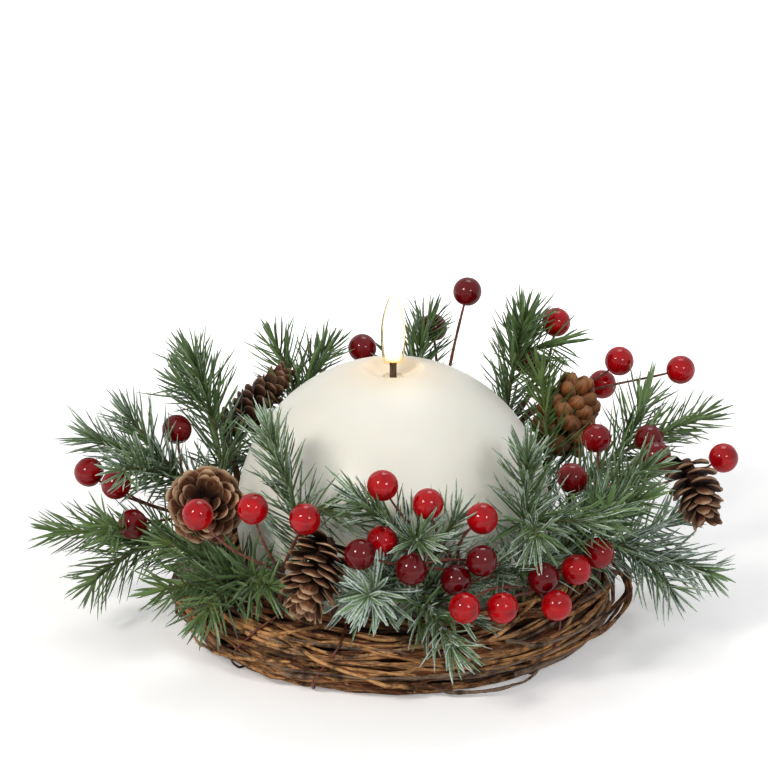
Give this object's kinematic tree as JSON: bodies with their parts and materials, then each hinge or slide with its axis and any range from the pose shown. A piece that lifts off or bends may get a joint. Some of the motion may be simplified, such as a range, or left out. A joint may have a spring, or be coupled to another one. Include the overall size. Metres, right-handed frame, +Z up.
{
  "type": "candle ring",
  "caption": "Twig ring dressed with pine sprigs, cones and berry picks, round a lift-out ball-shaped LED candle with a hinged battery door.",
  "frame": {"origin": "on the table under the middle of the candle", "axes": "+Z up, -Y the front, towards the picture's camera"},
  "size_m": [0.2852, 0.2129, 0.1384],
  "materials": {
    "wax": "satin cast wax",
    "base_plastic": "fine moulded texture",
    "switch_plastic": "moulded",
    "cell_wrap": "printed sleeve, plain",
    "contact_metal": "nickel-plated spring strip",
    "board": "solder-masked laminate",
    "screw_steel": "zinc plated",
    "post_plastic": "moulded",
    "wick_dark": "matt sleeve",
    "flame_diffuser": "frosted translucent",
    "lamp_epoxy": "clear epoxy",
    "lead_sleeve": "thin sleeve",
    "bark": "dry bark",
    "binding_copper": "oxidised copper wire",
    "pine_green": "moulded needles, frosted tips",
    "cone_scale": "dry scales",
    "berry_red": "high-gloss lacquer",
    "berry_burgundy": "high-gloss lacquer",
    "wrapped_stem": "paper-taped wire"
  },
  "bodies": {
    "ring": {"berries_a": "berry_red", "berries_b": "berry_burgundy", "berries_c": "berry_red", "berries_d": "berry_burgundy", "berries_e": "berry_red", "berries_f": "berry_red", "berries_g": "berry_red", "berries_h": "berry_burgundy", "berries_i": "berry_burgundy", "berry_stems_a": "wrapped_stem", "berry_stems_b": "wrapped_stem", "berry_stems_c": "wrapped_stem", "berry_stems_d": "wrapped_stem", "berry_stems_e": "wrapped_stem", "berry_stems_f": "wrapped_stem", "berry_stems_g": "wrapped_stem", "berry_stems_h": "wrapped_stem", "berry_stems_i": "wrapped_stem", "binding_wires": "binding_copper", "bottom_twigs": "bark", "cone_far_right": "cone_scale", "cone_front": "cone_scale", "cone_left_open": "cone_scale", "cone_rear_left": "cone_scale", "cone_right_closed": "cone_scale", "inner_twigs": "bark", "outer_twigs": "bark", "sprig_front_cross": "pine_green", "sprig_front_left_low": "pine_green", "sprig_front_left_tall": "pine_green", "sprig_front_low": "pine_green", "sprig_front_right_tall": "pine_green", "sprig_front_rosette": "pine_green", "sprig_left_long": "pine_green", "sprig_left_tall": "pine_green", "sprig_left_upper": "pine_green", "sprig_rear": "pine_green", "sprig_rear_left": "pine_green", "sprig_right_filler": "pine_green", "sprig_right_inner": "pine_green", "sprig_right_long": "pine_green", "sprig_right_low": "pine_green", "sprig_right_rosette": "pine_green", "sprig_right_tall": "pine_green", "twig_core": "bark", "wrapping_twigs": "bark"},
    "candle": {"wax_shell": "wax", "base_plate": "base_plastic", "battery_case": "base_plastic", "batteries": "cell_wrap", "battery_contacts": "contact_metal", "circuit_board": "board", "base_screws": "screw_steel", "flame_post": "post_plastic", "wick": "wick_dark", "flame_shell": "flame_diffuser", "led": "lamp_epoxy", "led_leads": "lead_sleeve"},
    "door": {"battery_door": "base_plastic"},
    "switch": {"power_switch": "switch_plastic"}
  },
  "joints": [
    {"name": "candle_lift", "type": "slide", "parent": "ring", "child": "candle", "axis": [0, 0, 1], "range_m": [0, 0.13]},
    {"name": "battery_door_hinge", "type": "hinge", "parent": "candle", "child": "door", "pos_m": [0, 0.00673, 0.0012], "axis": [-1, 0, 0], "range_deg": [0, 100]},
    {"name": "power_switch_slide", "type": "slide", "parent": "candle", "child": "switch", "axis": [1, 0, 0], "range_m": [0, 0.004]}
  ]
}
